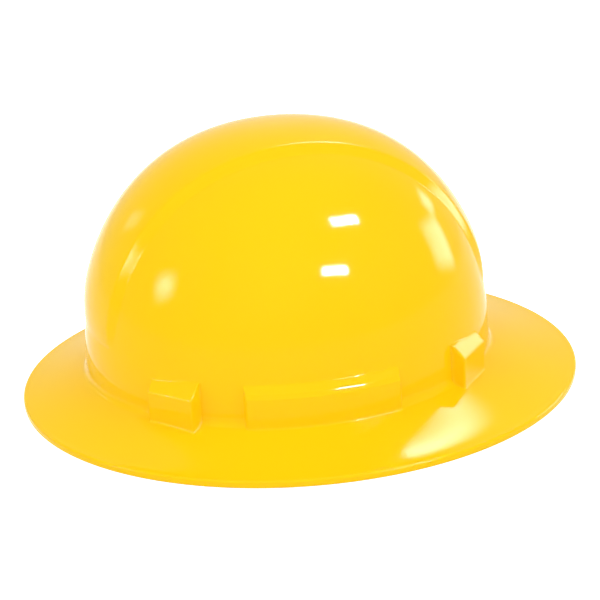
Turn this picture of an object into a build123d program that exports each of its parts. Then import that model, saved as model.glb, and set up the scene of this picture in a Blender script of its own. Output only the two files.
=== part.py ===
import os
from math import acos, atan2, cos, degrees, hypot, pi, radians, sin, sqrt, tan

from build123d import *

os.makedirs("parts", exist_ok=True)

# A full brim hard hat. The front faces -Y, the wearer's left is +X, and the lip's flat
# underside lies on z = 0 with the middle of the rim at x = y = 0. Sizes are in millimetres.

# Shell
rim_half_length = 165.5
rim_half_width = 152.0
lip_height = 4.0
lip_width = 4.6
lip_top_round = 1.5
lip_foot_round = 1.0
brim_wall = 2.4
brim_curve_power = 1.2
dome_wall = 2.4
dome_half_length = 120.4
dome_half_width = 107.4
dome_setback = -6.7
dome_foot_z = 16.0
dome_height = 135.4
dome_power = 2.26
foot_round = 5.0
overrun = 20.0

# Raised crest from front to back
crest_half_width = 42.0
crest_flank = 5.5
crest_rise = 2.8
crest_sink = 1.2
crest_depth = 6.0
crest_front_angle = 78.0
crest_rear_angle = 74.0
crest_fade_angle = 16.0

# Bosses that hold the suspension keys
boss_width = 29.4
boss_height = 21.0
boss_proud = 5.5
boss_front_wall = 2.3
boss_root = 6.0
boss_round = 0.9
front_key_angle = 43.5
rear_key_angle = 43.5

# Side panels with their accessory slots
panel_front_y = -56.5
panel_rear_y = 28.5
panel_height = 22.4
panel_proud = 4.0
panel_slope = 4.8
slot_length = 30.0
slot_gap = 2.4
slot_height = 15.0
slot_skin = 1.3

# Suspension keys
key_width = 18.0
key_thickness = 2.4
key_clearance = 0.6
key_wall_gap = 4.4
key_leg_height = 12.5
key_foot_drop = 0.8
bridge_thickness = 3.0
bridge_top_z = 40.5
bridge_half_width = 5.0
ear_thickness = 2.5
ear_round = 3.0
bar_radius = 1.7
bar_share = 0.64
bar_z = 47.5
peg_radius = 2.2
peg_head_radius = 3.6
peg_head_thickness = 1.3
post_radius = 3.5
slide_gap = 0.3

# Crown straps
strap_width = 19.0
strap_thickness = 1.4
strap_crown_z = 116.0
strap_cross_gap = 1.0
strap_loop_gap = 0.3

# Headband
band_centre_y = -10.0
band_half_width = 77.0
band_half_length = 94.0
band_thickness = 1.8
band_bottom_z = 4.0
band_top_z = 32.0
rail_bottom_z = 26.0
rail_overhang = 7.0
tab_half_width = 7.0
tab_proud = 0.7
tab_inset = 0.6
height_travel = 16.0
tab_rim = 4.0

# Soft pads
brow_pad_thickness = 4.0
brow_pad_bottom_z = 6.0
brow_pad_top_z = 30.0
brow_pad_end_y = -40.0
pad_gap = 0.3
nape_pad_thickness = 4.2
nape_pad_half_width = 27.0
nape_pad_half_height = 11.5
nape_pad_round = 5.0

# Side strips and racks
strip_half_height = 7.5
strip_thickness = 1.6
strip_end_gap = 0.4
arm_end_x = 40.0
arm_curve_x = 32.0
rack_half_height = 9.1
rack_tip_x = 20.4
layer_gap = 0.4
pinion_pitch_radius = 5.5
pinion_teeth = 9
pressure_angle = 28.0
tooth_backlash = 0.84
tooth_addendum = 0.9
tooth_dedendum = 1.15
rack_edge = 2.4

# Ratchet housing at the nape
nape_y = 79.0
nape_z = 15.6
housing_half_width = 27.5
housing_half_height = 13.2
housing_plate = 2.2
housing_round = 4.0
rack_front_gap = 0.7
rack_rear_gap = 0.2
rack_side_gap = 0.4
cover_plate = 2.4
screw_x = 20.0
screw_z = 11.2
screw_radius = 1.1
screw_head_radius = 1.8
screw_head_height = 1.0
shaft_radius = 3.5
pilot_radius = 2.5
shaft_clearance = 0.06
knob_radius = 13.4
knob_length = 11.5
knob_gap = 0.5
knob_round = 1.2
knob_grips = 14
knob_grip_radius = 1.5
knob_screw_radius = 1.2
knob_screw_head_radius = 3.0
knob_screw_head_height = 1.4


def block(x0, x1, y0, y1, z0, z1):
    """A box between two corners."""
    middle = Pos((x0 + x1) / 2, (y0 + y1) / 2, (z0 + z1) / 2)
    return middle * Box(x1 - x0, y1 - y0, z1 - z0)


def oval(half_x, half_y, y, z):
    """A flat elliptical face."""
    return Pos(0, y, z) * Ellipse(half_x, half_y)


def save(shape, name):
    export_step(shape, "parts/" + name + ".step")


def dome(grow, drop):
    """The dome as a full solid, grown by an offset, with straight sides below its foot."""
    half_width = dome_half_width + grow
    height = dome_height + grow
    steps = 16
    points = []
    for i in range(steps):
        t = pi / 2 * i / steps
        points.append((half_width * cos(t) ** (2 / dome_power), height * sin(t) ** (2 / dome_power)))
    points.append((0, height))
    arch = Spline(*points, tangents=[(0, 1), (-1, 0)])
    sides = Polyline((0, height), (0, -drop), (half_width, -drop), (half_width, 0))
    profile = make_face(Plane.XZ * (arch + sides))
    body = revolve(profile, Axis.Z, 360)
    stretched = scale(body, by=(1, (dome_half_length + grow) / half_width, 1))
    return Pos(0, dome_setback, dome_foot_z) * stretched


def brim_section(share, drop):
    """The brim's outline at a share of the way from the rim to the dome's foot."""
    half_length = rim_half_length + (dome_half_length - rim_half_length) * share
    half_width = rim_half_width + (dome_half_width - rim_half_width) * share
    rise = (dome_foot_z - lip_height) * share ** brim_curve_power
    return oval(half_width, half_length, dome_setback * share, lip_height + rise - drop)


def brim_top():
    """The brim as a full solid, with its rounded lip."""
    shares = [0, 0.25, 0.5, 0.75, 1]
    slope = loft([brim_section(share, 0) for share in shares])
    body = extrude(oval(rim_half_width, rim_half_length, 0, 0), lip_height) + slope
    for z, radius in ((lip_height, lip_top_round), (0, lip_foot_round)):
        edge = [e for e in body.edges() if e.length > rim_half_length and abs(e.center().Z - z) < lip_height / 4]
        body = fillet(edge, radius)
    return body


def brim_hollow():
    """The space under the brim, inside the lip."""
    start = lip_width / (rim_half_width - dome_half_width)
    shares = [start + (1 - start) * i / 4 for i in range(5)]
    slope = loft([brim_section(share, brim_wall) for share in shares])
    mouth = brim_section(start, brim_wall)
    return slope + extrude(mouth, overrun, dir=(0, 0, -1))


def ridge_radius(x, angle, grow):
    """Distance from the crosswise axis at the dome's foot to its surface, in the plane at an angle."""
    side = abs(x) / (dome_half_width + grow)
    length = dome_half_length + grow
    height = dome_height + grow
    low, high = 0.0, height + length
    for _ in range(48):
        mid = (low + high) / 2
        flat = hypot(side, mid * sin(radians(angle)) / length)
        if flat ** dome_power + (mid * cos(radians(angle)) / height) ** dome_power < 1:
            low = mid
        else:
            high = mid
    return low


def crest_section(angle, grow):
    """One cross section of the crest, standing on the crosswise axis and leaning back by an angle."""
    reach = -crest_front_angle if angle < 0 else crest_rear_angle
    share = min(1.0, abs(reach - angle) / crest_fade_angle)
    rise = (crest_rise + crest_sink) * share * (2 - share) - crest_sink
    shoulder = crest_half_width - crest_flank + grow * tan(pi / 8)
    skirt = shoulder + crest_flank * (crest_rise + crest_sink) / crest_rise
    top = ridge_radius(0, angle, grow) + rise
    side = ridge_radius(shoulder, angle, grow) + rise
    low = ridge_radius(skirt, angle, grow) - crest_sink
    base = low - crest_depth
    edges = ThreePointArc((-shoulder, side), (0, top), (shoulder, side))
    corners = [(shoulder, side), (skirt, low), (skirt, base), (-skirt, base), (-skirt, low), (-shoulder, side)]
    lean = (0, -cos(radians(angle)), sin(radians(angle)))
    plane = Plane((0, dome_setback, dome_foot_z), x_dir=(1, 0, 0), z_dir=lean)
    return plane * make_face(edges + Polyline(*corners))


def crest(grow):
    steps = 16
    span = crest_front_angle + crest_rear_angle
    angles = [-crest_front_angle + span * i / steps for i in range(steps + 1)]
    return loft([crest_section(angle, grow) for angle in angles])


def wall_point(angle):
    """A point on the dome's outer foot."""
    return (
        dome_half_width * cos(radians(angle)),
        dome_setback + dome_half_length * sin(radians(angle)),
    )


# The straps run from each front key to the rear key on the other side, and the keys face along them.
front_x, front_y = wall_point(-front_key_angle)
rear_x, rear_y = wall_point(rear_key_angle)
strap_angle = degrees(atan2(rear_y - front_y, front_x + rear_x))
front_left = Pos(front_x, front_y, 0) * Rot(0, 0, -strap_angle)
rear_left = Pos(rear_x, rear_y, 0) * Rot(0, 0, strap_angle)


def mirrored(shape):
    return mirror(shape, about=Plane.YZ)


def boss():
    """A key boss in its key's frame: x out of the wall, y along it."""
    brow = dome_foot_z + boss_height - boss_proud
    back = boss_proud + boss_root
    outline = Polyline(
        (-boss_root, dome_foot_z - brim_wall),
        (boss_proud, dome_foot_z - brim_wall),
        (boss_proud, brow),
        (-boss_root, brow + back),
        close=True,
    )
    body = extrude(make_face(Plane.XZ * outline), boss_width / 2, both=True)
    outer = [edge for edge in body.edges() if edge.center().X > -boss_root / 2]
    upper = [edge for edge in outer if edge.center().Z > dome_foot_z]
    return fillet(upper, boss_round)


def pocket():
    """The space in a boss that the key's outer leg slides into."""
    outer = boss_proud - boss_front_wall
    inner = outer - key_thickness - 2 * key_clearance
    half = key_width / 2 + key_clearance
    top = dome_foot_z + key_leg_height + key_clearance
    return block(inner, outer, -half, half, -overrun, top)


def panel():
    """The raised side panel, parallel to the dome, with a sloped top."""
    skin = dome(panel_proud, brim_wall)
    top = dome_foot_z + panel_height
    frame = block(0, rim_half_width, panel_front_y, panel_rear_y, dome_foot_z - brim_wall, top)
    body = skin & frame
    outer = [edge for edge in body.edges() if edge.center().X > dome_half_width * 3 / 4]
    upper = [edge for edge in outer if abs(edge.center().Z - top) < panel_slope / 4]
    return chamfer(upper, panel_slope)


def accessory_slot():
    """The slot in the left panel, open downwards, with its walls parallel to the panel."""
    outer = dome(panel_proud - slot_skin, overrun)
    inner = dome(panel_proud - slot_skin - slot_gap, 2 * overrun)
    middle = (panel_front_y + panel_rear_y) / 2
    front = middle - slot_length / 2
    ends = block(0, rim_half_width, front, front + slot_length, -overrun, dome_foot_z + slot_height)
    return (outer - inner) & ends


def make_shell():
    body = brim_top() + dome(0, brim_wall)
    foot = [
        edge
        for edge in body.edges()
        if abs(edge.bounding_box().max.Z - dome_foot_z) < brim_wall and edge.length > dome_half_length
    ]
    body = fillet(foot, foot_round)
    body += crest(0)
    side = panel()
    body += side
    body += mirrored(side)
    for place in (front_left, rear_left):
        lump = place * boss()
        body += lump
        body += mirrored(lump)
    body -= dome(-dome_wall, overrun)
    body -= crest(-dome_wall)
    body -= brim_hollow()
    for place in (front_left, rear_left):
        hole = place * pocket()
        body -= hole
        body -= mirrored(hole)
    slot = accessory_slot()
    body -= slot
    body -= mirrored(slot)
    return body


def meet(point, angle, half_x, half_y, centre_x):
    """How far inward from a wall point, along a direction, an elliptical band lies, and its facing there."""
    px = (point[0] - centre_x) / half_x
    py = (point[1] - band_centre_y) / half_y
    dx = -cos(radians(angle)) / half_x
    dy = -sin(radians(angle)) / half_y
    a = dx * dx + dy * dy
    b = px * dx + py * dy
    c = px * px + py * py - 1
    reach = (-b - sqrt(b * b - a * c)) / a
    facing = atan2((py + reach * dy) / half_y, (px + reach * dx) / half_x)
    return reach, degrees(facing)


def arm_half_length(end_y):
    """Half length of the side strip's oval, so that it passes through the strip's rear end."""
    share = (arm_end_x - arm_curve_x) / (band_half_width - arm_curve_x)
    return (end_y - band_centre_y) / sqrt(1 - share * share)


# The ratchet's layers, from the head outwards
tray_y = nape_y + housing_plate
inner_rack_y = tray_y + rack_front_gap + strip_thickness / 2
outer_rack_y = inner_rack_y + strip_thickness + layer_gap
cover_y = outer_rack_y + strip_thickness / 2 + rack_rear_gap
knob_y = cover_y + cover_plate + knob_gap
rail_half_width = band_half_width - arm_curve_x
rail_half_length = arm_half_length((inner_rack_y + outer_rack_y) / 2)

front_reach, front_facing = meet((front_x, front_y), -strap_angle, band_half_width, band_half_length, 0)
rear_reach, rear_facing = meet((rear_x, rear_y), strap_angle, rail_half_width, rail_half_length, arm_curve_x)
front_tab = front_left * Pos(-front_reach, 0, 0) * Rot(0, 0, strap_angle + front_facing)
rear_tab = rear_left * Pos(-rear_reach, 0, 0) * Rot(0, 0, rear_facing - strap_angle)
peg_z = bridge_top_z - bridge_thickness / 2

# The strap bars lie part of the way from the wall to the headband.
front_bar = front_left * Pos(-front_reach * bar_share, 0, bar_z)
rear_bar = rear_left * Pos(-rear_reach * bar_share, 0, bar_z)


def cylinder_along(radius, start, end, axis):
    """A round bar along an axis, between two distances from the origin."""
    turn = {"x": Rot(0, 90, 0), "y": Rot(-90, 0, 0), "z": Rot(0, 0, 0)}[axis]
    return turn * Pos(0, 0, (start + end) / 2) * Cylinder(radius, end - start)


def key(place, reach, tab):
    """A suspension key: a hook over the wall's foot, a bar for the strap and a peg for the headband."""
    half = key_width / 2
    outer = boss_proud - boss_front_wall - key_clearance
    wall_side = -dome_wall - key_wall_gap
    inner = wall_side - key_thickness
    foot_top = dome_foot_z - brim_wall - key_foot_drop
    foot = foot_top - key_thickness
    ear = strap_width / 2 + slide_gap + ear_thickness
    hook = block(outer - key_thickness, outer, -half, half, foot, dome_foot_z + key_leg_height)
    hook += block(inner, outer, -half, half, foot, foot_top)
    hook += block(inner, wall_side, -half, half, foot, bridge_top_z)
    bottom = bridge_top_z - bridge_thickness
    bar_x = -reach * bar_share
    shelf_start = bar_x + ear_round
    shelf_end = bar_x - ear_round
    hook += block(shelf_end, shelf_start, -ear, ear, bottom, bridge_top_z)
    hook += block(shelf_end, wall_side, -half, half, bottom, bridge_top_z)
    post_place = post_radius + band_thickness / 2 + tab_proud + slide_gap
    bridge_end = -reach + post_place
    hook += block(bridge_end, shelf_start, -bridge_half_width, bridge_half_width, bottom, bridge_top_z)
    for side in (-1, 1):
        middle = side * (ear - ear_thickness / 2)
        lug = Pos(bar_x, 0, bar_z) * cylinder_along(ear_round, -ear_thickness / 2, ear_thickness / 2, "y")
        lug += block(shelf_end, shelf_start, -ear_thickness / 2, ear_thickness / 2, bottom, bar_z)
        hook += Pos(0, middle, 0) * lug
    hook += Pos(bar_x, 0, bar_z) * cylinder_along(bar_radius, -ear, ear, "y")
    post = Pos(post_place, 0, peg_z) * Cylinder(post_radius, bridge_thickness)
    head = -tab_inset - slide_gap - peg_head_thickness
    peg = Pos(0, 0, peg_z) * cylinder_along(peg_radius, head, post_place, "x")
    peg += Pos(0, 0, peg_z) * cylinder_along(peg_head_radius, head, head + peg_head_thickness, "x")
    return place * hook + tab * (post + peg)


def crown_strap(raise_z):
    """A webbing strap from the front left key to the rear right key, with a loop round each bar."""
    across = front_bar.position.X + rear_bar.position.X
    along = front_bar.position.Y - rear_bar.position.Y
    middle_x = (front_bar.position.X - rear_bar.position.X) / 2
    middle_y = (front_bar.position.Y + rear_bar.position.Y) / 2
    span = hypot(across, along)
    plane = Plane((middle_x, middle_y, bar_z), x_dir=(across, along, 0), z_dir=(along, -across, 0))
    hole = bar_radius + strap_loop_gap
    loop = hole + strap_thickness
    half = span / 2 + strap_thickness / 2
    rise = strap_crown_z + raise_z - bar_z
    outline = Ellipse(half, rise) - Ellipse(half - strap_thickness, rise - strap_thickness)
    upper = Pos(0, rise, 0) * Rectangle(3 * span, 2 * rise)
    arch = outline & upper
    for side in (-1, 1):
        arch += Pos(side * span / 2, 0) * Circle(loop)
        arch -= Pos(side * span / 2, 0) * Circle(hole)
    return extrude(plane * arch, strap_width / 2, both=True)


def band_wall(half_x, half_y, centre_x, bottom, top, thickness):
    """An upright elliptical band."""
    outer = Ellipse(half_x + thickness / 2, half_y + thickness / 2)
    inner = Ellipse(half_x - thickness / 2, half_y - thickness / 2)
    return Pos(centre_x, band_centre_y, bottom) * extrude(outer - inner, top - bottom)


def tab(bottom):
    """A slotted upright tab, in its own frame, that a key's peg slides in."""
    top = peg_z + height_travel + peg_radius + tab_rim
    outer = band_thickness / 2 + tab_proud
    plate = block(-tab_inset, outer, -tab_half_width, tab_half_width, bottom, top)
    width = peg_radius + slide_gap
    slot = block(-slot_cut, slot_cut, -width, width, peg_z, peg_z + height_travel)
    for z in (peg_z, peg_z + height_travel):
        slot += Pos(0, 0, z) * cylinder_along(width, -slot_cut, slot_cut, "x")
    return plate, slot


slot_cut = 2 * band_thickness


def make_headband():
    front = band_wall(band_half_width, band_half_length, 0, band_bottom_z, band_top_z, band_thickness)
    far = 2 * band_half_length
    front &= block(-far, far, band_centre_y - far, band_centre_y, 0, far)
    rail = band_wall(rail_half_width, rail_half_length, arm_curve_x, rail_bottom_z, band_top_z, band_thickness)
    end_y = rear_tab.position.Y + rail_overhang
    rail &= block(arm_curve_x, far, band_centre_y, end_y, 0, far)
    band = front + rail + mirrored(rail)
    slots = []
    for place, bottom in ((front_tab, band_bottom_z + tab_rim), (rear_tab, rail_bottom_z)):
        plate, slot = tab(bottom)
        band += place * plate
        band += mirrored(place * plate)
        slots += [place * slot, mirrored(place * slot)]
    for slot in slots:
        band -= slot
    return band


def make_brow_pad():
    inset = band_thickness / 2 + pad_gap + brow_pad_thickness / 2
    half_width = band_half_width - inset
    half_length = band_half_length - inset
    pad = band_wall(half_width, half_length, 0, brow_pad_bottom_z, brow_pad_top_z, brow_pad_thickness)
    far = 2 * band_half_length
    return pad & block(-far, far, -far, brow_pad_end_y, 0, far)


def make_arm(end_y):
    """The left side strip, from the temple to its end beside the ratchet."""
    bottom = nape_z - strip_half_height
    top = nape_z + strip_half_height
    strip = band_wall(rail_half_width, arm_half_length(end_y), arm_curve_x, bottom, top, strip_thickness)
    far = 2 * band_half_length
    return strip & block(arm_end_x + strip_end_gap / 2, far, band_centre_y + strip_end_gap, far, 0, far)


rack_pitch = 2 * pi * pinion_pitch_radius / pinion_teeth
tooth_width = (rack_pitch - tooth_backlash) / 2
tip_radius = pinion_pitch_radius + tooth_addendum
root_radius = pinion_pitch_radius - tooth_dedendum


def make_rack(y, teeth_side):
    """The left strip end, seen from behind: a window with a row of teeth on its lower or upper edge."""
    window_end = rack_tip_x - rack_edge
    lean = tan(radians(pressure_angle))
    plate = Rectangle(rack_tip_x + arm_end_x - strip_end_gap / 2, 2 * rack_half_height)
    plate = Pos((arm_end_x - strip_end_gap / 2 - rack_tip_x) / 2, 0) * plate
    open_side = rack_half_height - rack_edge
    root = pinion_pitch_radius + tooth_dedendum
    window = Polyline(
        (-window_end, -teeth_side * open_side),
        (window_end, -teeth_side * open_side),
        (window_end, teeth_side * root),
        (-window_end, teeth_side * root),
        close=True,
    )
    plate -= make_face(window)
    count = int((window_end - tooth_width) / rack_pitch)
    shift = 0 if teeth_side > 0 else rack_pitch / 2
    half_root = tooth_width / 2 + tooth_dedendum * lean
    half_tip = tooth_width / 2 - tooth_addendum * lean
    for i in range(-count, count + 1):
        x = i * rack_pitch + shift
        if abs(x) + half_root < window_end:
            tooth = Polyline(
                (x - half_root, teeth_side * (root + rack_edge / 4)),
                (x - half_root, teeth_side * root),
                (x - half_tip, teeth_side * (pinion_pitch_radius - tooth_addendum)),
                (x + half_tip, teeth_side * (pinion_pitch_radius - tooth_addendum)),
                (x + half_root, teeth_side * root),
                (x + half_root, teeth_side * (root + rack_edge / 4)),
                close=True,
            )
            plate += make_face(tooth)
    standing = Plane((0, y, nape_z), x_dir=(1, 0, 0), z_dir=(0, -1, 0))
    return extrude(standing * plate, strip_thickness / 2, both=True)


def involute_angle(radius):
    """The angle that a tooth's flank has turned through at a radius."""
    base = pinion_pitch_radius * cos(radians(pressure_angle))
    slope = acos(min(1.0, base / radius))
    return tan(slope) - slope


def gear_outline():
    """The pinion's outline, with one tooth pointing down."""
    base = pinion_pitch_radius * cos(radians(pressure_angle))
    half = tooth_width / 2 / pinion_pitch_radius + involute_angle(pinion_pitch_radius)
    radii = [base + (tip_radius - base) * i / 5 for i in range(6)]
    points = []
    for i in range(pinion_teeth):
        middle = -pi / 2 + 2 * pi * i / pinion_teeth
        rise = [(radius, middle - half + involute_angle(radius)) for radius in radii]
        fall = [(radius, middle + half - involute_angle(radius)) for radius in reversed(radii)]
        for radius, angle in [(root_radius, middle - half)] + rise + fall + [(root_radius, middle + half)]:
            points.append((radius * cos(angle), radius * sin(angle)))
    return make_face(Polyline(*points, close=True))


def make_pinion():
    """The pinion on its shaft, with a pilot into the base and a hole for the knob's screw."""
    standing = Plane((0, tray_y + rack_rear_gap, nape_z), x_dir=(1, 0, 0), z_dir=(0, -1, 0))
    width = cover_y - tray_y - 2 * rack_rear_gap
    gear = extrude(standing * gear_outline(), -width)
    end = knob_y + knob_length / 2
    shaft = cylinder_along(shaft_radius, cover_y - rack_rear_gap, end, "y")
    shaft += cylinder_along(pilot_radius, nape_y + housing_plate / 2, tray_y + rack_rear_gap, "y")
    gear += Pos(0, 0, nape_z) * shaft
    screw_hole = cylinder_along(knob_screw_radius, cover_y, end + overrun, "y")
    return gear - Pos(0, 0, nape_z) * screw_hole


def rounded_plate(half_x, half_z, radius, start, thickness):
    standing = Plane((0, start, nape_z), x_dir=(1, 0, 0), z_dir=(0, -1, 0))
    return extrude(standing * RectangleRounded(2 * half_x, 2 * half_z, radius), -thickness)


def at_screws(shape):
    copies = []
    for x in (-screw_x, screw_x):
        for z in (-screw_z, screw_z):
            copies.append(Pos(x, 0, nape_z + z) * shape)
    return copies


def make_base():
    """The inner half of the ratchet: a plate with a rail above and below the racks."""
    depth = cover_y - nape_y
    base = rounded_plate(housing_half_width, housing_half_height, housing_round, nape_y, depth)
    channel = rack_half_height + rack_side_gap
    far = 2 * housing_half_width
    base -= block(-far, far, tray_y, cover_y + overrun, nape_z - channel, nape_z + channel)
    pilot_start = nape_y + housing_plate / 2 - shaft_clearance
    base -= Pos(0, 0, nape_z) * cylinder_along(pilot_radius + shaft_clearance, pilot_start, tray_y + overrun, "y")
    for hole in at_screws(cylinder_along(screw_radius, tray_y, cover_y + overrun, "y")):
        base -= hole
    return base


def make_cover():
    cover = rounded_plate(housing_half_width, housing_half_height, housing_round, cover_y, cover_plate)
    outer = cover_y + cover_plate
    edge = [e for e in cover.edges() if e.center().Y > outer - cover_plate / 4]
    cover = fillet(edge, cover_plate / 3)
    bore = cylinder_along(shaft_radius + shaft_clearance, cover_y - overrun, outer + overrun, "y")
    cover -= Pos(0, 0, nape_z) * bore
    recess = outer - screw_head_height
    for hole in at_screws(cylinder_along(screw_radius, cover_y - overrun, outer + overrun, "y")):
        cover -= hole
    for hole in at_screws(cylinder_along(screw_head_radius, recess, outer + overrun, "y")):
        cover -= hole
    return cover


def make_screws():
    outer = cover_y + cover_plate
    shank = cylinder_along(screw_radius, tray_y + screw_radius, outer - screw_head_height, "y")
    head = cylinder_along(screw_head_radius, outer - screw_head_height, outer, "y")
    arm = screw_radius / 4
    slit = outer - screw_head_height / 2
    cross = block(-screw_head_radius, screw_head_radius, slit, outer + overrun, -arm, arm)
    return at_screws((shank + head) - cross)


def make_nape_pad():
    thickness = nape_pad_thickness
    start = nape_y - pad_gap - thickness
    pad = rounded_plate(nape_pad_half_width, nape_pad_half_height, nape_pad_round, start, thickness)
    edge = [e for e in pad.edges() if e.center().Y < start + thickness / 4]
    return fillet(edge, thickness / 3)


def make_knob():
    """The adjusting knob, with finger grips round its rim and a recess for its screw."""
    end = knob_y + knob_length
    knob = cylinder_along(knob_radius, knob_y, end, "y")
    rim = [e for e in knob.edges() if e.center().Y > end - knob_round]
    knob = fillet(rim, knob_round)
    for i in range(knob_grips):
        turn = 2 * pi * (i + 1 / 2) / knob_grips
        groove = cylinder_along(knob_grip_radius, knob_y - overrun, end + overrun, "y")
        reach = knob_radius + knob_grip_radius / 3
        knob -= Pos(reach * cos(turn), 0, reach * sin(turn)) * groove
    knob -= cylinder_along(shaft_radius, knob_y - overrun, knob_y + knob_length / 2, "y")
    knob -= cylinder_along(knob_screw_radius, knob_y, end + overrun, "y")
    floor = end - 2 * knob_screw_head_height
    knob -= cylinder_along(knob_screw_head_radius, floor, end + overrun, "y")
    return Pos(0, 0, nape_z) * knob


def make_knob_screw():
    floor = knob_y + knob_length - 2 * knob_screw_head_height
    screw = cylinder_along(knob_screw_radius, cover_y + cover_plate / 2, floor, "y")
    screw += cylinder_along(knob_screw_head_radius, floor, floor + knob_screw_head_height, "y")
    top = floor + knob_screw_head_height
    length = knob_screw_head_radius * 2 / 3
    width = knob_screw_radius / 4
    slit = top - knob_screw_head_height / 2
    for turn in (0, 90):
        screw -= Rot(0, turn, 0) * block(-length, length, slit, top + overrun, -width, width)
    return Pos(0, 0, nape_z) * screw


def make_inside():
    parts = {}
    for name, place, reach, tab_place in (
        ("front", front_left, front_reach, front_tab),
        ("rear", rear_left, rear_reach, rear_tab),
    ):
        left = key(place, reach, tab_place)
        parts["key_" + name + "_left"] = left
        parts["key_" + name + "_right"] = mirrored(left)
    parts["crown_strap_lower"] = crown_strap(0)
    parts["crown_strap_upper"] = mirrored(crown_strap(strap_thickness + strap_cross_gap))
    parts["headband"] = make_headband()
    parts["brow_pad"] = make_brow_pad()
    parts["arm_left"] = make_arm(outer_rack_y)
    parts["arm_right"] = mirrored(make_arm(inner_rack_y))
    parts["rack_left"] = make_rack(outer_rack_y, -1)
    parts["rack_right"] = mirrored(make_rack(inner_rack_y, 1))
    parts["ratchet_base"] = make_base()
    parts["ratchet_cover"] = make_cover()
    parts["housing_screws"] = Compound(children=make_screws())
    parts["nape_pad"] = make_nape_pad()
    parts["knob"] = make_knob()
    parts["drive_pinion"] = make_pinion()
    parts["knob_screw"] = make_knob_screw()
    return parts


if __name__ == "__main__":
    for node, shape in make_inside().items():
        save(shape, node)
    save(make_shell(), "shell")
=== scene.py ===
"""A full brim hard hat of glossy yellow plastic, on a white floor in soft studio light.

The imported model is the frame. The shell gets a skin built here from the same sizes as its
solid, and the webbing and pads get pieces of their own. Lengths are in millimetres until a
mesh is made.
"""
from math import acos, asin, atan2, cos, degrees, hypot, pi, radians, sin, sqrt, tan

import bpy
import numpy as np
from mathutils import Matrix, Vector


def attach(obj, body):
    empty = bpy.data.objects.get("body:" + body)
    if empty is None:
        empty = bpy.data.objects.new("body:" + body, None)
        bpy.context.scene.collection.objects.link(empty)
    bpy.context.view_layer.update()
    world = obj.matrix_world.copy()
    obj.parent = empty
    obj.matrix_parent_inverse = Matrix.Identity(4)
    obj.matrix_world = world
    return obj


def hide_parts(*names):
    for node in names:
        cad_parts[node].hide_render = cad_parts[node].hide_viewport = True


MM = 0.001

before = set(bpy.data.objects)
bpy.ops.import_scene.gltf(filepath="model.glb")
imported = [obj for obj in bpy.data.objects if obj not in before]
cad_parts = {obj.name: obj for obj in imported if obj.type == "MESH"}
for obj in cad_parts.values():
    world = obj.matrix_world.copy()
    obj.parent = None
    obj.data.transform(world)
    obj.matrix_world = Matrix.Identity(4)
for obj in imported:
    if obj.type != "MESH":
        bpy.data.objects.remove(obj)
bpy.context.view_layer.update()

# The shell, in the sizes of its solid
RIM_X, RIM_Y = 152.0, 165.5
LIP_TOP, LIP_WIDTH = 4.0, 4.6
LIP_TOP_ROUND, LIP_FOOT_ROUND, LIP_INSIDE = 1.5, 1.0, 5.6
BRIM_WALL, BRIM_POWER = 2.4, 1.2
DOME_X, DOME_Y, DOME_H = 107.4, 120.4, 135.4
DOME_BACK, FOOT_Z = -6.7, 16.0
DOME_WALL, DOME_POWER = 2.4, 2.26
FOOT_ROUND = 5.0

CREST_SHOULDER, CREST_FLANK = 36.5, 5.5
CREST_RISE, CREST_SINK = 2.8, 1.2
CREST_FRONT, CREST_REAR, CREST_FADE = 78.0, 74.0, 16.0

BOSS_HALF, BOSS_PROUD, BOSS_SLOPE_TOP = 14.7, 5.5, 37.0
BOSS_ROUND = 0.9
FRONT_KEY, REAR_KEY = -43.5, 43.5

PANEL_FRONT, PANEL_REAR = -56.5, 28.5
PANEL_PROUD, PANEL_ROUND = 4.0, 1.0

SLOT_FRONT, SLOT_REAR, SLOT_TOP = -29.0, 1.0, 31.0
SLOT_OUTER, SLOT_INNER = 2.7, 0.3
POCKET_INNER, POCKET_OUTER, POCKET_HALF, POCKET_TOP = -0.4, 3.2, 9.6, 29.1
CUT_FLOOR, SLOT_STEPS = -2.0, 10

FRONT_REACH, REAR_REACH, BAR_SHARE = 27.06, 22.39, 0.64

# Details of the skin: the side and round of a raised form's edge, the blends of crest and boss,
# the small round under panels and bosses, and where the brim's top meets the lip's round
EDGE_SIDE = 0.12
CREST_TOP_BLEND, CREST_FOOT_BLEND = 0.45, 0.35
BOSS_TOP_BLEND, BOSS_WALL_BLEND = 0.55, 0.3
SMALL_ROUND = 1.1
BRIM_END, BRIM_END_SLOPE = 1.735, 9.0

# The skin's lines: columns beside each edge and along the crest, the least and most degrees
# between columns, and the numbers of rings round the foot, over the brim and across the dome
EDGE_STEPS = (-2.4, -1.2, -0.5, -0.15, 0.0, 0.06, 0.12, 0.2, 0.4, 0.7, 1.02, 1.6, 2.6)
CREST_COLUMNS = (
    33.6, 35.0, 35.8, 36.3, 36.7, 37.3, 38.2, 39.4,
    40.6, 41.3, 41.8, 42.2, 42.7, 43.5, 45.0,
)
COLUMN_LEAST, COLUMN_MOST = 0.02, 1.9
FOOT_STEPS, FOOT_LEAD, BRIM_STEPS, UNDER_STEPS = 9, 3, 18, 16
CAP_Z, CAP_STEPS, INNER_CAP_STEPS = 46.0, 84, 60
HALVINGS = 40


def new_mesh(name, verts, faces, smooth=True):
    """A mesh object from points in millimetres."""
    mesh = bpy.data.meshes.new(name)
    mesh.from_pydata([tuple(v) for v in np.asarray(verts) * MM], [], faces)
    mesh.validate()
    mesh.update()
    mesh.polygons.foreach_set("use_smooth", [smooth] * len(mesh.polygons))
    obj = bpy.data.objects.new(name, mesh)
    bpy.context.scene.collection.objects.link(obj)
    return obj


# Shell skin

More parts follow.
